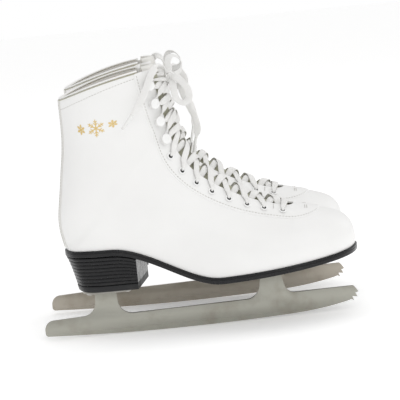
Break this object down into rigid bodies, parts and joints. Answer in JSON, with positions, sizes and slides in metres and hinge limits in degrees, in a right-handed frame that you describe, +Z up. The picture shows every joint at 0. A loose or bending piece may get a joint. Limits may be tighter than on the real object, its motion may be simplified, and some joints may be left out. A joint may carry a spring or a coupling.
{
  "type": "figure skates",
  "caption": "Pair of lace-up leather figure skate boots with heeled soles, screwed-on steel blades with toe picks, padded tongues, and laces tied in bows.",
  "frame": {"origin": "on the ice under the middle of the pair, at the lowest point of the blades", "axes": "+X towards the toes, +Y towards the left skate, +Z up"},
  "size_m": [0.2958, 0.2178, 0.253],
  "materials": {
    "white_leather": "smooth satin white leather",
    "lining_leather": "matt cream lining leather",
    "stiffener": "impregnated stiffener board",
    "fibre_board": "pressed fibre board",
    "foot_felt": "brushed lining felt",
    "binding": "folded edge tape",
    "tongue_felt": "padded felt and leather",
    "white_fitting": "white enamelled",
    "lace_cotton": "flat woven lace",
    "aglet_film": "glossy film",
    "black_sole": "polished black",
    "black_rubber": "matt black rubber",
    "shank_steel": "spring steel",
    "blade_steel": "satin nickel-plated steel"
  },
  "bodies": {
    "skates": {"right_upper": "white_leather", "right_lining": "lining_leather", "right_heel_counter": "stiffener", "right_toe_puff": "stiffener", "right_insole_board": "fibre_board", "right_footbed": "foot_felt", "right_facing_outer": "white_leather", "right_facing_inner": "white_leather", "right_back_strap": "white_leather", "right_collar_binding": "binding", "right_hardware_outer": "white_fitting", "right_hardware_inner": "white_fitting", "right_lace": "lace_cotton", "right_lace_bow_inner": "lace_cotton", "right_lace_bow_outer": "lace_cotton", "right_lace_end_inner": "lace_cotton", "right_lace_end_outer": "lace_cotton", "right_aglet_inner": "aglet_film", "right_aglet_outer": "aglet_film", "right_outsole": "black_sole", "right_shank": "shank_steel", "right_heel_block": "black_sole", "right_top_lift": "black_rubber", "right_heel_plate": "blade_steel", "right_sole_plate": "blade_steel", "right_blade": "blade_steel", "left_upper": "white_leather", "left_lining": "lining_leather", "left_heel_counter": "stiffener", "left_toe_puff": "stiffener", "left_insole_board": "fibre_board", "left_footbed": "foot_felt", "left_facing_outer": "white_leather", "left_facing_inner": "white_leather", "left_back_strap": "white_leather", "left_collar_binding": "binding", "left_hardware_outer": "white_fitting", "left_hardware_inner": "white_fitting", "left_lace": "lace_cotton", "left_lace_bow_inner": "lace_cotton", "left_lace_bow_outer": "lace_cotton", "left_lace_end_inner": "lace_cotton", "left_lace_end_outer": "lace_cotton", "left_aglet_inner": "aglet_film", "left_aglet_outer": "aglet_film", "left_outsole": "black_sole", "left_shank": "shank_steel", "left_heel_block": "black_sole", "left_top_lift": "black_rubber", "left_heel_plate": "blade_steel", "left_sole_plate": "blade_steel", "left_blade": "blade_steel"},
    "right_tongue": {"right_tongue": "tongue_felt"},
    "left_tongue": {"left_tongue": "tongue_felt"}
  },
  "joints": [
    {"name": "right_tongue_hinge", "type": "hinge", "parent": "skates", "child": "right_tongue", "pos_m": [0.0859, -0.055, 0.1027], "axis": [0, -1, 0], "range_deg": [0, 10], "stiffness_Nm_per_rad": 0.4, "springref_deg": -11.46},
    {"name": "left_tongue_hinge", "type": "hinge", "parent": "skates", "child": "left_tongue", "pos_m": [0.0859, 0.055, 0.1027], "axis": [0, -1, 0], "range_deg": [0, 10], "stiffness_Nm_per_rad": 0.4, "springref_deg": -11.46}
  ]
}
